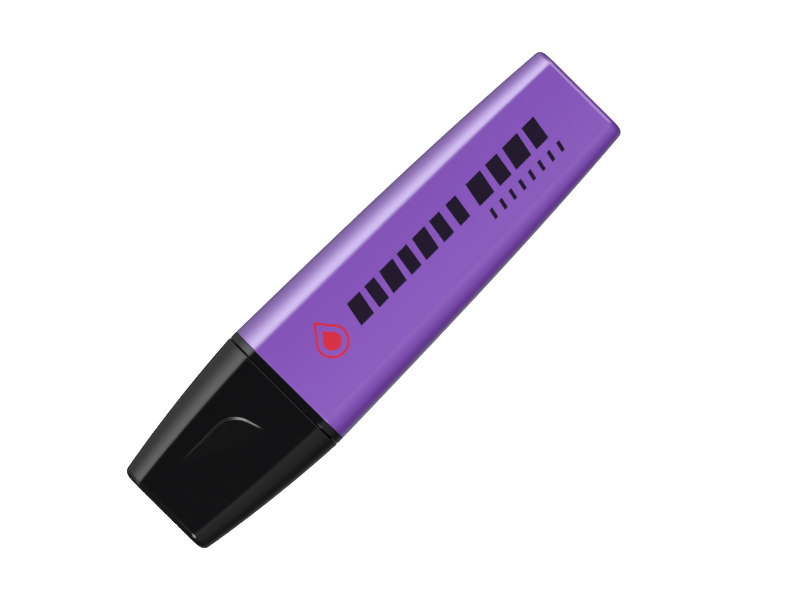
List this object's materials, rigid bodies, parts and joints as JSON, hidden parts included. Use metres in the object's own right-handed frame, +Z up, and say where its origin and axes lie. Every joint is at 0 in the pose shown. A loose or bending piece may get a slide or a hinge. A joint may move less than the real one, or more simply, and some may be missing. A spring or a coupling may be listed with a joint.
{
  "type": "highlighter",
  "caption": "Flat wedge highlighter pen: tapered barrel, pull-off cap with a finger recess, and a chisel nib fed by a fibre ink reservoir.",
  "frame": {"origin": "on the surface that the pen lies on, under the middle of its length and width, level with the lowest line of the cap's lip and the collar", "axes": "+X from the closed end of the cap towards the tail, +Z up through the broad faces, +Y across the broad faces"},
  "size_m": [0.105, 0.0268, 0.017],
  "materials": {
    "barrel_plastic": "glossy purple moulding",
    "black_plastic": "glossy black moulding",
    "nib_felt": "porous felt wet with violet ink",
    "ink_fibre": "bundled fibre soaked with violet ink",
    "film": "thin film",
    "liner_plastic": "matt black moulding"
  },
  "bodies": {
    "pen": {"barrel": "barrel_plastic", "front_section": "black_plastic", "nib": "nib_felt", "reservoir_core": "ink_fibre", "reservoir_wrap": "film"},
    "cap": {"cap_shell": "black_plastic", "inner_cap": "liner_plastic"}
  },
  "joints": [
    {"name": "cap_pull", "type": "slide", "parent": "pen", "child": "cap", "axis": [-1, 0, 0], "range_m": [0, 0.045]}
  ]
}
